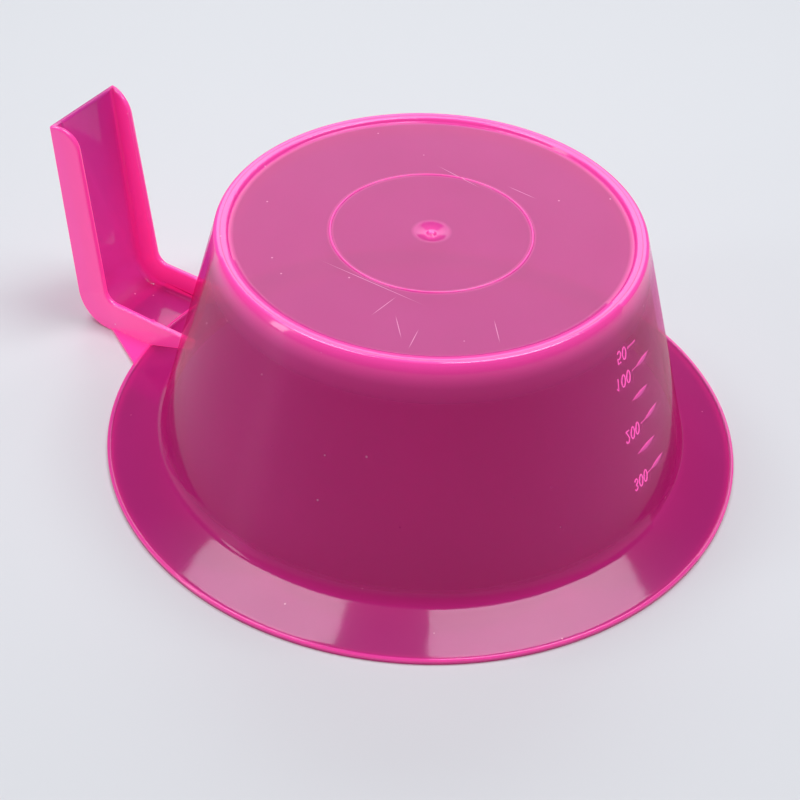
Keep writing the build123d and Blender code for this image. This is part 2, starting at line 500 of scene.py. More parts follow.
# Share of the light that goes on scattered, and how the handle and marks differ in clearness
BOWL_HAZE, HANDLE_HAZE, MARK_HAZE = 0.35, 0.3, 0.1
HANDLE_CLEAR_SHARE = 0.85
MARK_CLEAR = 0.1


def tinted_plastic(name, tint, glow_tint, see_tint, clear, haze, light=EDGE_PAINTED_GLOW, scratches=()):
    """Glossy translucent polypropylene. Clear is the share of light that each face lets straight
    through, and haze the share of the rest that goes on scattered. Where the attribute glow is 1
    the plastic is thick and less clear, and it carries painted glow: a brighter base colour and
    emission stand in for the light that thick plastic gathers."""
    material = bpy.data.materials.new(name)
    material.use_nodes = True
    tree = material.node_tree
    surface = tree.nodes["Principled BSDF"]
    output = tree.nodes["Material Output"]
    surface.inputs["IOR"].default_value = 1.49
    surface.inputs["Specular IOR Level"].default_value = 0.3
    surface.inputs["Coat Weight"].default_value = 1.0
    surface.inputs["Coat Roughness"].default_value = 0.06
    surface.inputs["Coat IOR"].default_value = 1.6
    # The glow tint is the colour of the painted glow, given out as emission
    surface.inputs["Emission Color"].default_value = (*glow_tint, 1.0)
    coordinate = node(tree, "ShaderNodeTexCoord", (-1900, 0)).outputs["Object"]
    glow = node(tree, "ShaderNodeAttribute", (-1900, 500), attribute_name="glow").outputs["Fac"]

    # Cloudy flow of the pigment, and painted glow that brightens the colour of the thick edges
    cloud = mapped_noise(tree, coordinate, (-1700, 300), 42.0, (1, 1, 0.5), detail=3.0)
    pale = [min(1.0, channel * 1.10 + 0.008) for channel in tint]
    deep = [channel * 0.88 for channel in tint]
    clouded = mixed_colour(tree, cloud, deep, pale, (-900, 300))
    lit = mixed_colour(tree, glow, clouded, glow_tint, (-700, 300))

    # Scratches and dust catch the light and hide what is behind them
    marked = specks(tree, coordinate, (-1700, -1000))
    for step, (middle, length, turn) in enumerate(scratches):
        line = straight_scratch(tree, coordinate, (-1700, -2300 - 250 * step), middle, length, turn)
        marked = calculate(tree, "MAXIMUM", marked, line, (-800, -2300 - 250 * step), clamp=True)
    share = calculate(tree, "MULTIPLY", marked, SCRATCH_SHARE, (-600, 100))
    colour = mixed_colour(tree, share, lit, SCRATCH_TINT, (-450, 300))
    tree.links.new(colour, surface.inputs["Base Color"])

    thick = calculate(tree, "MULTIPLY", glow, THICK_LOSS, (-700, 0))
    solid = calculate(tree, "MAXIMUM", share, thick, (-500, 0))
    open_share = calculate(tree, "SUBTRACT", 1.0, solid, (-350, 0))
    scattered = calculate(tree, "MULTIPLY", open_share, haze, (-200, 0))
    # Painted glow: emission wherever the glow attribute is raised
    painted_glow_strength = calculate(tree, "MULTIPLY", glow, light, (-200, 600))
    tree.links.new(painted_glow_strength, surface.inputs["Emission Strength"])
    tree.links.new(scattered, surface.inputs["Transmission Weight"])

    # Gloss that changes a little over the surface and is duller on the scratches
    smear = mapped_noise(tree, coordinate, (-1700, -1400), 60.0, detail=4.0)
    gloss = ramp(tree, smear, (-1100, -1400), GLOSS_STOPS)
    duller = calculate(tree, "MULTIPLY", marked, SCRATCH_ROUGHNESS, (-500, -400))
    rough = calculate(tree, "ADD", gloss, duller, (-300, -400), clamp=True)
    tree.links.new(rough, surface.inputs["Roughness"])

    # Slow ripple left by the mould, and the scratches' grooves
    ripple = mapped_noise(tree, coordinate, (-1700, -1800), 75.0, detail=1.5)
    ripple_bump = node(tree, "ShaderNodeBump", (-700, -1800))
    ripple_bump.inputs["Strength"].default_value = 0.3
    ripple_bump.inputs["Distance"].default_value = 0.3 * MILLIMETRE
    tree.links.new(ripple, ripple_bump.inputs["Height"])
    groove_bump = node(tree, "ShaderNodeBump", (-400, -1800), invert=True)
    groove_bump.inputs["Strength"].default_value = 0.3
    groove_bump.inputs["Distance"].default_value = 0.03 * MILLIMETRE
    tree.links.new(marked, groove_bump.inputs["Height"])
    tree.links.new(ripple_bump.outputs["Normal"], groove_bump.inputs["Normal"])
    tree.links.new(groove_bump.outputs["Normal"], surface.inputs["Normal"])
    tree.links.new(groove_bump.outputs["Normal"], surface.inputs["Coat Normal"])

    # The share that is seen straight through, tinted at each face
    window = node(tree, "ShaderNodeBsdfTransparent", (300, -200))
    window.inputs["Color"].default_value = (*see_tint, 1.0)
    both = node(tree, "ShaderNodeMixShader", (500, 0))
    straight = calculate(tree, "MULTIPLY", open_share, clear, (100, 200))
    tree.links.new(straight, both.inputs["Fac"])
    tree.links.new(surface.outputs["BSDF"], both.inputs[1])
    tree.links.new(window.outputs["BSDF"], both.inputs[2])
    tree.links.new(both.outputs["Shader"], output.inputs["Surface"])
    return material


def studio_floor_material(tint):
    """Plain pale floor with the faintest mottling."""
    material = bpy.data.materials.new("studio_floor")
    material.use_nodes = True
    tree = material.node_tree
    surface = tree.nodes["Principled BSDF"]
    surface.inputs["Roughness"].default_value = 0.45
    coordinate = node(tree, "ShaderNodeTexCoord", (-900, 0)).outputs["Object"]
    mottle = mapped_noise(tree, coordinate, (-700, 0), 9.0, detail=3.0)
    mix = node(tree, "ShaderNodeMix", (-250, 0), data_type="RGBA")
    mix.inputs["A"].default_value = (*[channel * 0.985 for channel in tint], 1.0)
    mix.inputs["B"].default_value = (*tint, 1.0)
    tree.links.new(mottle, mix.inputs["Factor"])
    tree.links.new(mix.outputs["Result"], surface.inputs["Base Color"])
    return material


# --------------------------------------------------------------------------------------
# Bowl
# --------------------------------------------------------------------------------------


# Painted glow of the milky base and the brim, which also makes them a little less clear, next to 0 for
# the wall and 1 for the ring
BASE_GLOW = 0.2
BRIM_GLOW = 0.15

# The raised circle line: half widths at its foot and crest, and of the ground that it brightens
LINE_FOOT, LINE_CREST, LINE_GROUND = 0.3 * MILLIMETRE, 0.1 * MILLIMETRE, 0.8 * MILLIMETRE

# The groove in the foot ring: how far in from the ring's outside, its half width and depth
GROOVE_INSET, GROOVE_HALF, GROOVE_DEPTH = 1.5 * MILLIMETRE, 0.15 * MILLIMETRE, 0.1 * MILLIMETRE

# Heights and painted glow on the wall's outside, where the foot ring's painted glow fades
WALL_PAINTED_GLOW_FADE = (
    (54.3 * MILLIMETRE, 0.7),
    (51.5 * MILLIMETRE, 0.25),
    (47.5 * MILLIMETRE, 0.0),
    (8.5 * MILLIMETRE, 0.0),
)

# Lowest and highest of the plain stretch of the wall's inside
INNER_FOOT, INNER_TOP = 8.0 * MILLIMETRE, 50.0 * MILLIMETRE


def bowl_section(shell):
    """Corners of the bowl's section, from the middle of the base round to the middle of the
    floor inside. Each is radius, height, fillet radius, segments of its fillet and painted glow."""
    base_top = FLOOR_HIGH.z
    recess_floor = STUB_LOW.z
    line_middle = LINE_HIGH.y - LINE_FOOT
    foot_inner = FOOT_HIGH.y - shell.foot_width
    groove = FOOT_HIGH.y - GROOVE_INSET
    floor_inside = FLOOR_LOW.z
    mouth_radius = outer_radius(shell.mouth_height)
    shoulder = LIP_HIGH.z - shell.shoulder_drop
    slope = (shell.mouth_height - shoulder) / (BRIM_HIGH.y - mouth_radius)

    def brim_height(reach):
        return shoulder + (BRIM_HIGH.y - reach) * slope

    near_root, near_rim = mouth_radius + 1.2 * MILLIMETRE, BRIM_HIGH.y - 0.6 * MILLIMETRE
    return [
        (0.0, STUB_HIGH.z, 0, 0, 1.0),
        (STUB_HIGH.y, STUB_HIGH.z, 0.4 * MILLIMETRE, 4, 1.0),
        (STUB_HIGH.y, recess_floor, 0.25 * MILLIMETRE, 3, 0.8),
        (STUB_HIGH.y + 0.6 * MILLIMETRE, recess_floor, 0.4 * MILLIMETRE, 3, 0.75),
        (shell.gate_recess, base_top, 2.0 * MILLIMETRE, 4, 0.5),
        (shell.gate_recess + 0.9 * MILLIMETRE, base_top, 0, 0, BASE_GLOW),
        (line_middle - LINE_GROUND, base_top, 0, 0, BASE_GLOW),
        (line_middle - LINE_FOOT, base_top, 0.1 * MILLIMETRE, 2, 0.5),
        (line_middle - LINE_CREST, LINE_HIGH.z, 0.1 * MILLIMETRE, 3, 1.0),
        (line_middle + LINE_CREST, LINE_HIGH.z, 0.1 * MILLIMETRE, 3, 1.0),
        (line_middle + LINE_FOOT, base_top, 0.1 * MILLIMETRE, 2, 0.5),
        (line_middle + LINE_GROUND, base_top, 0, 0, BASE_GLOW),
        (foot_inner - 1.2 * MILLIMETRE, base_top, 0, 0, BASE_GLOW),
        (foot_inner, base_top, 0.4 * MILLIMETRE, 4, 0.8),
        (foot_inner + 0.4 * MILLIMETRE, FOOT_HIGH.z, 0.5 * MILLIMETRE, 5, 1.0),
        (groove - GROOVE_HALF, FOOT_HIGH.z, 0, 0, 1.0),
        (groove, FOOT_HIGH.z - GROOVE_DEPTH, 0, 0, 0.5),
        (groove + GROOVE_HALF, FOOT_HIGH.z, 0, 0, 1.0),
        (outer_radius(FOOT_HIGH.z), FOOT_HIGH.z, 0.9 * MILLIMETRE, 6, 1.0),
        *[(outer_radius(height), height, 0, 0, glow) for height, glow in WALL_PAINTED_GLOW_FADE],
        (mouth_radius, shell.mouth_height, 0.5 * MILLIMETRE, 4, 0.2),
        (near_root, brim_height(near_root), 0, 0, BRIM_GLOW),
        (near_rim, brim_height(near_rim), 0, 0, BRIM_GLOW),
        (BRIM_HIGH.y, shoulder, 0.15 * MILLIMETRE, 2, BRIM_GLOW),
        (BRIM_HIGH.y + 0.1 * MILLIMETRE, LIP_HIGH.z, 0.15 * MILLIMETRE, 3, 0.45),
        (LIP_HIGH.y, LIP_HIGH.z, 0.32 * MILLIMETRE, 4, 1.0),
        (LIP_HIGH.y, LIP_LOW.z, 0.2 * MILLIMETRE, 3, 0.3),
        (BRIM_HIGH.y, LIP_LOW.z, 0.3 * MILLIMETRE, 2, 0.6),
        (near_rim - 1.0 * MILLIMETRE, LIP_LOW.z + 0.6 * MILLIMETRE, 0, 0, 0.0),
        (inner_radius(shell.mouth_edge_height), shell.mouth_edge_height, 0.8 * MILLIMETRE, 5, 0.3),
        (inner_radius(INNER_FOOT), INNER_FOOT, 0, 0, 0.0),
        (inner_radius(INNER_TOP), INNER_TOP, 0, 0, 0.0),
        (inner_radius(floor_inside), floor_inside, 2.0 * MILLIMETRE, 8, 0.4),
        (FLOOR_HIGH.y - 6.0 * MILLIMETRE, floor_inside, 0, 0, 0.0),
        (0.0, floor_inside, 0, 0, 0.0),
    ]


def ring_at(bm, radius, height):
    """Edges of the ring of a surface of revolution at a radius and height."""
    tolerance = 1e-7

    def on_ring(vert):
        reach = math.hypot(vert.co.x, vert.co.y)
        return abs(vert.co.z - height) < tolerance and abs(reach - radius) < tolerance

    return [edge for edge in bm.edges if on_ring(edge.verts[0]) and on_ring(edge.verts[1])]


def turn_at(corners, index):
    """How far the section turns at one of its corners."""
    before, here, after = (Vector(corners[index + step][:2]) for step in (-1, 0, 1))
    return (here - before).angle(after - here)


# Scratches on the outside of the base: middle, length and turn in degrees
BASE_SCRATCHES = (
    ((-0.3 * MILLIMETRE, -22.0 * MILLIMETRE), 27.0 * MILLIMETRE, -1.0),
    ((-6.2 * MILLIMETRE, 20.6 * MILLIMETRE), 13.0 * MILLIMETRE, -9.0),
    ((8.0 * MILLIMETRE, 23.4 * MILLIMETRE), 8.0 * MILLIMETRE, -4.0),
    ((12.0 * MILLIMETRE, -31.0 * MILLIMETRE), 8.0 * MILLIMETRE, -48.0),
    ((16.5 * MILLIMETRE, -32.5 * MILLIMETRE), 7.0 * MILLIMETRE, -75.0),
    ((6.0 * MILLIMETRE, -27.0 * MILLIMETRE), 8.5 * MILLIMETRE, -95.0),
    ((28.5 * MILLIMETRE, -21.0 * MILLIMETRE), 8.0 * MILLIMETRE, -50.0),
)


class TINTBOWL_OT_shell(bpy.types.Operator):
    """Spin the bowl's section into one seamless shell with rounded corners"""

    bl_idname = "tint_bowl.shell"
    bl_label = "Bowl Shell"

    def execute(self, context):
        scene = context.scene
        shell = scene.tint_bowl_shell
        corners = bowl_section(shell)
        bm = bmesh.new()
        glow_layer = bm.verts.layers.float.new("glow")
        verts = []
        for radius, height, _, _, glow in corners:
            verts.append(bm.verts.new((radius, 0, height)))
            verts[-1][glow_layer] = glow
        edges = [bm.edges.new(pair) for pair in zip(verts, verts[1:])]
        bmesh.ops.spin(
            bm,
            geom=verts + edges,
            cent=(0, 0, 0),
            axis=(0, 0, 1),
            angle=2 * math.pi,
            steps=shell.turn_steps,
            use_merge=True,
        )
        bmesh.ops.remove_doubles(bm, verts=bm.verts, dist=1e-6)
        bmesh.ops.recalc_face_normals(bm, faces=bm.faces)
        for index, (radius, height, fillet, segments, _) in enumerate(corners):
            if fillet:
                round_edges(bm, ring_at(bm, radius, height), fillet, segments, turn_at(corners, index))
        look = scene.tint_bowl_look
        material = tinted_plastic(
            "bowl_plastic",
            look.bowl_tint,
            look.glow_tint,
            look.see_tint,
            look.clear,
            BOWL_HAZE,
            scratches=BASE_SCRATCHES,
        )
        piece = add_object("bowl_shell", bm, material)
        keep_flats_flat(piece)
        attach(piece, BODY)
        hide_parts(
            "bowl_wall",
            "bowl_floor",
            "foot_ring",
            "floor_circle_line",
            "gate_mark",
            "brim",
            "brim_lip",
        )
        return {"FINISHED"}


# --------------------------------------------------------------------------------------
# Handle
# --------------------------------------------------------------------------------------


# Height of the ribs' free edge over the bridge, and reach of the corner that the bend rounds
RIB_EDGE_HEIGHT = 7.7 * MILLIMETRE
CORNER_REACH = 89.2 * MILLIMETRE

# How far the channel runs in over the rim, and how far the ribs' corner sets back from the bend
RIM_OVERLAP = 1.1 * MILLIMETRE
CORNER_SET_BACK = 2.3 * MILLIMETRE

# The ribs' free edges: how much they narrow, how much they splay from the grip, and how deep
# the channel is at the tip
RIB_NARROWING = 0.65 * MILLIMETRE
EDGE_SPLAY = math.radians(2.5)
TIP_DEPTH = 6.2 * MILLIMETRE
BEND_STEPS = 10


def handle_stations(handle):
    """Places along the channel, from the rim to the tip: reach and height of the outer face,
    of the web's inner face and of the ribs' free edge, and half widths at back and front."""
    tip_reach, tip_height = -GRIP_LOW.x, GRIP_HIGH.z
    bridge = BRIDGE_HIGH.z
    half = RIB_HIGH.y
    rim_station = LIP_HIGH.y - RIM_OVERLAP
    lean = math.atan2(tip_reach - CORNER_REACH, tip_height)
    bend = handle.bend_radius
    bend_start = CORNER_REACH - bend * math.tan((math.pi / 2 - lean) / 2)
    corner_start = bend_start - CORNER_SET_BACK
    free_turn = math.pi / 2 - lean - EDGE_SPLAY
    front = half - RIB_NARROWING
    stations = [
        (
            (rim_station, 0.0),
            (rim_station, bridge),
            (rim_station, RIB_EDGE_HEIGHT - 0.15 * MILLIMETRE),
            half - 0.1 * MILLIMETRE,
            half - 0.4 * MILLIMETRE,
        )
    ]
    for step in range(BEND_STEPS + 1):
        share = step / BEND_STEPS
        turn = share * (math.pi / 2 - lean)
        free = share * free_turn
        web = bend - bridge - share * (handle.grip_thickness - bridge)
        corner = handle.rib_corner_radius
        stations.append(
            (
                (bend_start + bend * math.sin(turn), bend - bend * math.cos(turn)),
                (bend_start + web * math.sin(turn), bend - web * math.cos(turn)),
                (
                    corner_start + corner * math.sin(free),
                    RIB_EDGE_HEIGHT + corner - corner * math.cos(free),
                ),
                half,
                front + 0.1 * MILLIMETRE,
            )
        )
    stations.append(
        (
            (tip_reach, tip_height),
            (tip_reach - handle.grip_thickness / math.cos(lean), tip_height),
            (tip_reach - TIP_DEPTH, tip_height),
            half + handle.flare,
            front - 0.45 * MILLIMETRE,
        )
    )
    return stations


def place_section(verts, role_layer, station, thickness):
    """Move the ten vertices of one section of the channel to a station."""
    outer, web, free, back_half, front_half = station
    points = (outer, web, free)
    halves = (back_half, back_half, front_half)
    walls = (thickness, thickness, thickness * 0.85)
    for vert in verts:
        role, side = divmod(vert[role_layer], 4)
        inner = side in (1, 2)
        width = halves[role] - (walls[role] if inner else 0.0)
        reach, height = points[role]
        vert.co = (-reach, width if side > 1 else -width, height)


def grow(bm, faces):
    """Extrude faces without moving them, and give back the new faces and vertices."""
    edges = dict.fromkeys(edge for face in faces for edge in face.edges)
    verts = dict.fromkeys(vert for face in faces for vert in face.verts)
    made = bmesh.ops.extrude_face_region(bm, geom=[*faces, *edges, *verts])["geom"]
    new_faces = [item for item in made if isinstance(item, bmesh.types.BMFace)]
    new_verts = [item for item in made if isinstance(item, bmesh.types.BMVert)]
    return new_faces, new_verts


# Painted glow of the thin web and the gussets, which also sets how much less clear they are, next to 1
# for the ribs' edges
WEB_GLOW = 0.12
GUSSET_GLOW = 0.85

# The ribs run down the brim's slope and end inside the wall. Each is the reach of a section,
# its lowest and its highest point.
RIB_ROOTS = (
    (BRIM_HIGH.y - 1.2 * MILLIMETRE, 0.95 * MILLIMETRE, 7.5 * MILLIMETRE),
    (outer_radius(5.0 * MILLIMETRE) - 0.4 * MILLIMETRE, 4.35 * MILLIMETRE, 7.4 * MILLIMETRE),
    (outer_radius(RIB_HIGH.z / 8) - 1.6 * MILLIMETRE, 5.2 * MILLIMETRE, 7.4 * MILLIMETRE),
)

# Edges that turn by more than this many radians are rounded
SHARP_TURN = 0.6


def channel_mesh(handle):
    """The handle's channel, grown section by section from the rim to the tip of the grip, and
    its two ribs grown back over the brim to the wall."""
    bm = bmesh.new()
    role_layer = bm.verts.layers.int.new("role")
    glow_layer = bm.verts.layers.float.new("glow")
    stations = handle_stations(handle)
    # The role of a vertex is 4 times its row (outer, web, free) plus its place across
    roles = [0, 1, 2, 3, 5, 6, 8, 9, 10, 11]
    by_role = {}
    for role in roles:
        vert = bm.verts.new((0, 0, 0))
        vert[role_layer] = role
        vert[glow_layer] = WEB_GLOW if role in (1, 2, 5, 6) else 1.0
        by_role[role] = vert
    place_section(bm.verts, role_layer, stations[0], handle.rib_thickness)
    outlines = ((0, 1, 5, 9, 8), (1, 2, 6, 5), (2, 3, 11, 10, 6))
    faces = [bm.faces.new([by_role[role] for role in outline]) for outline in outlines]
    root_faces = [faces[0], faces[2]]
    for station in stations[1:]:
        faces, verts = grow(bm, faces)
        place_section(verts, role_layer, station, handle.rib_thickness)

    for reach, low, high in RIB_ROOTS:
        root_faces, verts = grow(bm, root_faces)
        for vert in verts:
            role = vert[role_layer] // 4
            vert.co.x = -reach
            vert.co.z = (low, low + (high - low) * 0.12, high)[role]
    bm.normal_update()
    bmesh.ops.recalc_face_normals(bm, faces=bm.faces)

    # Rounded ends of the ribs at the tip
    tip = GRIP_HIGH.z - 1e-6
    corner_edges = [
        edge
        for edge in bm.edges
        if all(vert[role_layer] // 4 == 2 and vert.co.z > tip for vert in edge.verts)
    ]
    round_edges(bm, corner_edges, handle.rib_top_radius, 8)

    # Hollow corners inside the channel, then every outer edge but the hidden ones over the rim
    closed = [edge for edge in bm.edges if edge.is_manifold]
    hollows = [edge for edge in closed if edge.calc_face_angle_signed() < -SHARP_TURN]
    round_edges(bm, hollows, handle.root_round, 4)
    rim_end = -stations[0][0][0]
    edges = [
        edge
        for edge in bm.edges
        if edge.is_manifold
        and edge.calc_face_angle_signed() > SHARP_TURN
        and any(abs(vert.co.x - rim_end) > 1e-5 for vert in edge.verts)
    ]
    round_edges(bm, edges, handle.edge_round, 3, math.pi / 2)
    bmesh.ops.dissolve_degenerate(bm, dist=1e-6, edges=bm.edges)
    for vert in bm.verts:
        vert.co.z = max(vert.co.z, RIB_LOW.z)
    return bm


def add_gussets(bm):
    """Two flat triangles that run from the ribs out along the rim."""
    glow_layer = bm.verts.layers.float["glow"]
    inside = LIP_HIGH.y - 0.4 * MILLIMETRE
    spread = math.asin(GUSSET_HIGH.y / LIP_HIGH.y)
    overlap = 0.5 * MILLIMETRE
    for side in (1, -1):
        corners = [
            (GUSSET_LOW.x, side * (RIB_HIGH.y - overlap), 0.0),
            (-inside * math.cos(spread), side * inside * math.sin(spread), 0.0),
            (-LIP_HIGH.y + 1.5 * MILLIMETRE, side * (RIB_HIGH.y - overlap), 0.0),
        ]
        plate = bm.faces.new([bm.verts.new(corner) for corner in corners])
        for vert in plate.verts:
            vert[glow_layer] = GUSSET_GLOW
        rim = list(plate.edges)
        faces, verts = grow(bm, [plate])
        bmesh.ops.translate(bm, verts=verts, vec=(0, 0, GUSSET_HIGH.z))
        around = dict.fromkeys([*faces, *(face for edge in rim for face in edge.link_faces)])
        bmesh.ops.recalc_face_normals(bm, faces=list(around))
        sharp = dict.fromkeys(edge for face in around for edge in face.edges)
        round_edges(bm, list(sharp), 0.18 * MILLIMETRE, 2, math.pi / 2)


class TINTBOWL_OT_handle(bpy.types.Operator):
    """Grow the channel-shaped handle along its path and add its two gussets"""

    bl_idname = "tint_bowl.handle"
    bl_label = "Handle"

    def execute(self, context):
        scene = context.scene
        bm = channel_mesh(scene.tint_bowl_handle)
        add_gussets(bm)
        look = scene.tint_bowl_look
        material = tinted_plastic(
            "handle_plastic",
            look.handle_tint,
            look.glow_tint,
            look.see_tint,
            look.clear * HANDLE_CLEAR_SHARE,
            HANDLE_HAZE,
        )
        piece = add_object("handle", bm, material)
        keep_flats_flat(piece)
        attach(piece, BODY)
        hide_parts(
            "handle_bridge",
            "handle_grip",
            "handle_rib_left",
            "handle_rib_right",
            "gusset_left",
            "gusset_right",
        )
        return {"FINISHED"}


# --------------------------------------------------------------------------------------
# Measuring marks
# --------------------------------------------------------------------------------------

# Strokes of the figures in a box 1 wide and 2 high. Each is its points, and whether it is
# smooth, and whether it closes on itself.
FIGURES = {
    "0": [([(0, 1), (-0.5, 0.45), (-0.5, -0.45), (0, -1), (0.5, -0.45), (0.5, 0.45)], True, True)],
    "1": [([(-0.45, 0.55), (0, 1), (0, -1)], False, False)],
    "2": [
        ([(-0.5, 0.55), (-0.3, 0.92), (0.1, 0.98), (0.48, 0.55), (0.1, -0.25), (-0.5, -1)], True, False),
        ([(-0.5, -1), (0.5, -1)], False, False),
    ],
    "3": [
        ([(-0.45, 0.7), (-0.05, 1), (0.42, 0.55), (-0.05, 0.1)], True, False),
        ([(-0.05, 0.1), (0.5, -0.4), (0.0, -1), (-0.5, -0.65)], True, False),
    ],
    "5": [
        ([(0.45, 1), (-0.4, 1), (-0.45, 0.15)], False, False),
        ([(-0.45, 0.15), (0.1, 0.28), (0.5, -0.35), (0.05, -1), (-0.5, -0.7)], True, False),
    ],
}


# A figure's half width next to its half height
FIGURE_WIDTH = 0.43

# Height of the marks' relief next to their half width, and the share of painted glow that a tick's crest
# keeps
NUMERAL_RELIEF, TICK_RELIEF = 1.0, 0.4
TICK_CREST_GLOW = 0.3

# Ticks as places along them and half widths, in shares of their length and of the widest
# sliver's half width. The plain half stroke at the start of the long ones comes from the pen.
BAR = ((-0.5, 0.4), (0.0, 0.4), (0.5, 0.4))
SHORT_SLIVER = ((-0.5, 0.06), (-0.25, 0.75), (0.0, 1.0), (0.25, 0.75), (0.5, 0.06))
LONG_SLIVER = ((-0.1, 0.8), (0.08, 1.0), (0.3, 0.7), (0.5, 0.06))
LONG_STROKE = (-0.5, -0.3)


def draw_strokes(name, strokes, pen, crest_glow=1.0):
    """Mesh of round strokes lying in the XY plane. Each stroke is points of x, y and width
    share, and whether it is smooth and closed. The strokes' sides get the full painted glow, and
    their crests the share crest_glow, so the sides look brighter as if they caught the light."""
    curve = bpy.data.curves.new(name, "CURVE")
    curve.dimensions = "3D"
    curve.bevel_depth = pen
    curve.bevel_resolution = 3
    curve.resolution_u = 8
    curve.use_fill_caps = True
    for points, smooth, closed in strokes:
        spline = curve.splines.new("BEZIER")
        spline.bezier_points.add(len(points) - 1)
        spline.use_cyclic_u = closed
        for target, (x, y, width) in zip(spline.bezier_points, points):
            target.co = (x, y, 0)
            target.radius = width
            target.handle_left_type = target.handle_right_type = "AUTO" if smooth else "VECTOR"
    drawn = bpy.data.objects.new(name, curve)
    bpy.context.scene.collection.objects.link(drawn)
    bpy.context.view_layer.update()
    mesh = bpy.data.meshes.new_from_object(drawn.evaluated_get(bpy.context.evaluated_depsgraph_get()))
    bpy.data.objects.remove(drawn)
    bpy.data.curves.remove(curve)
    bm = bmesh.new()
    bm.from_mesh(mesh)
    bpy.data.meshes.remove(mesh)
    bmesh.ops.remove_doubles(bm, verts=bm.verts, dist=1e-7)
    bm.normal_update()
    glow_layer = bm.verts.layers.float.new("glow")
    for vert in bm.verts:
        vert[glow_layer] = 1.0 - (1.0 - crest_glow) * vert.normal.z**2
    return bm


def lay_on_wall(bm, low, high, turn, flatten):
    """Wrap a flat drawing onto the inside of the wall, centred in a CAD mark's box. The
    drawing's x runs with the reading direction and its y towards the rim."""
    height = (low.z + high.z) / 2
    radius = inner_radius(height)
    azimuth = math.atan2((low.y + high.y) / 2, (low.x + high.x) / 2)
    bmesh.ops.rotate(bm, verts=bm.verts, cent=(0, 0, 0), matrix=Matrix.Rotation(turn, 3, "Z"))
    for vert in bm.verts:
        x, y, relief = vert.co
        level = height - y * math.cos(WALL_LEAN)
        reach = inner_radius(level) - relief * flatten * math.cos(WALL_LEAN)
        angle = azimuth + x / radius
        vert.co = (reach * math.cos(angle), reach * math.sin(angle), level)
    bm.normal_update()
    bmesh.ops.recalc_face_normals(bm, faces=bm.faces)


class TINTBOWL_OT_numerals(bpy.types.Operator):
    """Draw the raised numerals with a round pen and wrap them onto the inside of the wall"""

    bl_idname = "tint_bowl.numerals"
    bl_label = "Numerals"

    def execute(self, context):
        marks = context.scene.tint_bowl_marks
        material = bpy.data.materials["mark_plastic"]
        for volume in NUMERAL_VOLUMES:
            low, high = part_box(f"numeral_{volume}")
            figures = str(volume)
            half_height = (high.z - low.z) / 2 - marks.pen_radius
            half_width = half_height * FIGURE_WIDTH
            strokes = []
            for place, figure in enumerate(figures):
                middle = (place - (len(figures) - 1) / 2) * marks.digit_pitch
                for points, smooth, closed in FIGURES[figure]:
                    scaled = [(middle + x * 2 * half_width, y * half_height, 1.0) for x, y in points]
                    strokes.append((scaled, smooth, closed))
            bm = draw_strokes(f"numeral_{volume}_strokes", strokes, marks.pen_radius)
            lay_on_wall(bm, low, high, marks.numeral_slant, NUMERAL_RELIEF)
            piece = add_object(f"raised_numeral_{volume}", bm, material)
            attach(piece, BODY)
            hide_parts(f"numeral_{volume}")
        return {"FINISHED"}


class TINTBOWL_OT_ticks(bpy.types.Operator):
    """Draw the raised ticks, a plain bar at 50 and pointed slivers above it, on the wall"""

    bl_idname = "tint_bowl.ticks"
    bl_label = "Ticks"

    def execute(self, context):
        marks = context.scene.tint_bowl_marks
        material = bpy.data.materials["mark_plastic"]
        for volume in TICK_VOLUMES:
            low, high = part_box(f"tick_{volume}")
            length = math.hypot(high.x - low.x, high.y - low.y)
            widest = marks.sliver_radius
            if volume == TICK_VOLUMES[0]:
                profile = BAR
            elif volume in NUMERAL_VOLUMES:
                profile = [(place, marks.pen_radius / widest) for place in LONG_STROKE]
                profile.extend(LONG_SLIVER)
            else:
                profile = SHORT_SLIVER
            points = [(place * length, 0.0, width) for place, width in profile]
            strokes = [(points, True, False)]
            bm = draw_strokes(f"tick_{volume}_stroke", strokes, widest, TICK_CREST_GLOW)
            lay_on_wall(bm, low, high, marks.tick_slant, TICK_RELIEF)
            piece = add_object(f"raised_tick_{volume}", bm, material)
            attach(piece, BODY)
            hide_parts(f"tick_{volume}")
        return {"FINISHED"}


class TINTBOWL_OT_mark_material(bpy.types.Operator):
    """Make the plastic of the raised marks, which is cloudier than the wall behind it and carries a
    painted glow (emission) in the mark tint
    """

    bl_idname = "tint_bowl.mark_material"
    bl_label = "Mark Material"

    def execute(self, context):
        look = context.scene.tint_bowl_look
        tinted_plastic(
            "mark_plastic",
            look.mark_tint,
            look.mark_tint,
            look.see_tint,
            MARK_CLEAR,
            MARK_HAZE,
            MARK_PAINTED_GLOW,
        )
        return {"FINISHED"}


# --------------------------------------------------------------------------------------
# Stage
# --------------------------------------------------------------------------------------


FLOOR_REACH = 3.0
WORLD_TINT = (0.93, 0.95, 1.0, 1.0)
WORLD_STRENGTH = 0.17
LAMP_TINT = (0.90, 0.94, 1.0)

# Lamps over the bowl: how far to the right of the camera's view, away from the camera and up,
# how far away the point that they face is, their size in metres and their power in watts
OVERHEAD_LAMPS = (
    ("softbox_left", -0.395, 0.13, 0.95, 0.08, (0.43, 0.46), 4.8),
    ("softbox_right", 0.345, 0.13, 0.95, 0.08, (0.59, 0.46), 6.5),
    ("softbox_back", 0.0, 0.90, 0.74, 0.0, (0.80, 0.50), 2.6),
)


def add_softbox(name, place, aim, size, power, tint):
    """A rectangular area lamp that faces a point."""
    lamp = bpy.data.lights.new(name, "AREA")
    lamp.shape = "RECTANGLE"
    lamp.size, lamp.size_y = size
    lamp.energy = power
    lamp.color = tint
    holder = bpy.data.objects.new(name, lamp)
    holder.location = place
    holder.rotation_euler = (Vector(aim) - Vector(place)).to_track_quat("-Z", "Y").to_euler()
    bpy.context.scene.collection.objects.link(holder)


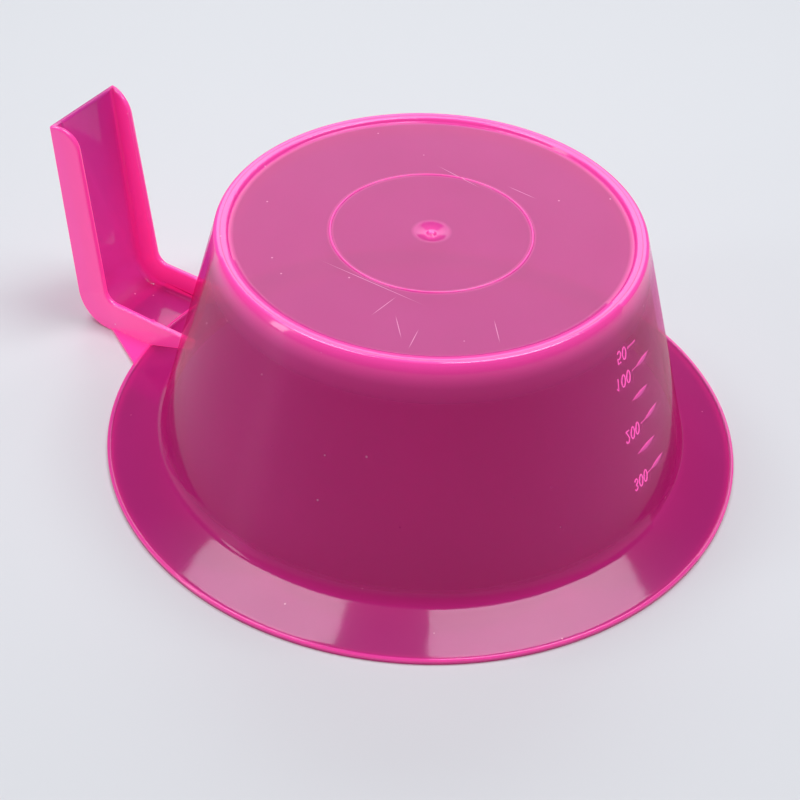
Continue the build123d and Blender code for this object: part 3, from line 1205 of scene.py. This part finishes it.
class TINTBOWL_OT_stage(bpy.types.Operator):
    """Set the pale floor, the soft lamps and the camera"""

    bl_idname = "tint_bowl.stage"
    bl_label = "Stage"

    def execute(self, context):
        scene = context.scene
        stage = scene.tint_bowl_stage
        bm = bmesh.new()
        bmesh.ops.create_grid(bm, x_segments=1, y_segments=1, size=FLOOR_REACH)
        bmesh.ops.translate(bm, verts=bm.verts, vec=(0, 0, CAD_BOX[0][2]))
        floor = add_object("studio_floor", bm, studio_floor_material(scene.tint_bowl_look.floor_tint))

        world = bpy.data.worlds.new("studio_world")
        scene.world = world
        world.use_nodes = True
        background = world.node_tree.nodes["Background"]
        background.inputs["Color"].default_value = WORLD_TINT
        background.inputs["Strength"].default_value = WORLD_STRENGTH

        scene.view_settings.view_transform = "Standard"
        # Directions in the studio: to the right of the camera's view, and away from the camera
        away = (Vector(stage.camera_aim) - Vector(stage.camera_place)) * Vector((1, 1, 0))
        away.normalize()
        right = away.cross(Vector((0, 0, 1)))
        up = Vector((0, 0, 1))
        for name, sideways, back, height, aim_back, size, power in OVERHEAD_LAMPS:
            place = right * sideways + away * back + up * height
            aim = right * sideways + away * aim_back
            add_softbox(name, place, aim, size, power, LAMP_TINT)
        # A tall strip beside the bowl lights the outside of the grip
        strip = right * -0.85 - away * 0.25 + up * 0.35
        add_softbox("strip_left", strip, up * 0.03, (0.14, 0.55), 1.2, LAMP_TINT)

        camera = bpy.data.cameras.new("camera")
        camera.lens = stage.camera_lens
        camera.sensor_width = 36.0
        camera.clip_start = 0.01
        camera.dof.use_dof = False
        holder = bpy.data.objects.new("camera", camera)
        place, aim = Vector(stage.camera_place), Vector(stage.camera_aim)
        look = (aim - place).to_track_quat("-Z", "Y").to_matrix()
        roll = Matrix.Rotation(stage.camera_roll, 3, "Z")
        holder.matrix_world = Matrix.Translation(place) @ (look @ roll).to_4x4()
        scene.collection.objects.link(holder)
        scene.camera = holder
        return {"FINISHED"}


# --------------------------------------------------------------------------------------
# Panel and registration
# --------------------------------------------------------------------------------------

PROPERTY_GROUPS = {
    "tint_bowl_shell": TintBowlShell,
    "tint_bowl_handle": TintBowlHandle,
    "tint_bowl_marks": TintBowlMarks,
    "tint_bowl_look": TintBowlLook,
    "tint_bowl_stage": TintBowlStage,
}

# In the order that they run
OPERATORS = (
    TINTBOWL_OT_shell,
    TINTBOWL_OT_handle,
    TINTBOWL_OT_mark_material,
    TINTBOWL_OT_numerals,
    TINTBOWL_OT_ticks,
    TINTBOWL_OT_stage,
)


class TINTBOWL_PT_panel(bpy.types.Panel):
    """Lists the steps that build the bowl and the sizes that they read"""

    bl_idname = "TINTBOWL_PT_panel"
    bl_label = "Tint Bowl"
    bl_space_type = "VIEW_3D"
    bl_region_type = "UI"
    bl_category = "Tint Bowl"

    def draw(self, context):
        for name, group in PROPERTY_GROUPS.items():
            box = self.layout.box()
            settings = getattr(context.scene, name)
            for key in group.__annotations__:
                box.prop(settings, key)
        for operator in OPERATORS:
            self.layout.operator(operator.bl_idname)


def register():
    for group in PROPERTY_GROUPS.values():
        bpy.utils.register_class(group)
    for operator in OPERATORS:
        bpy.utils.register_class(operator)
    bpy.utils.register_class(TINTBOWL_PT_panel)
    for name, group in PROPERTY_GROUPS.items():
        setattr(bpy.types.Scene, name, bpy.props.PointerProperty(type=group))


def unregister():
    for name in PROPERTY_GROUPS:
        delattr(bpy.types.Scene, name)
    bpy.utils.unregister_class(TINTBOWL_PT_panel)
    for operator in reversed(OPERATORS):
        bpy.utils.unregister_class(operator)
    for group in reversed(PROPERTY_GROUPS.values()):
        bpy.utils.unregister_class(group)


def main():
    register()
    bpy.ops.tint_bowl.shell()
    bpy.ops.tint_bowl.handle()
    bpy.ops.tint_bowl.mark_material()
    bpy.ops.tint_bowl.numerals()
    bpy.ops.tint_bowl.ticks()
    bpy.ops.tint_bowl.stage()


if __name__ == "__main__":
    main()
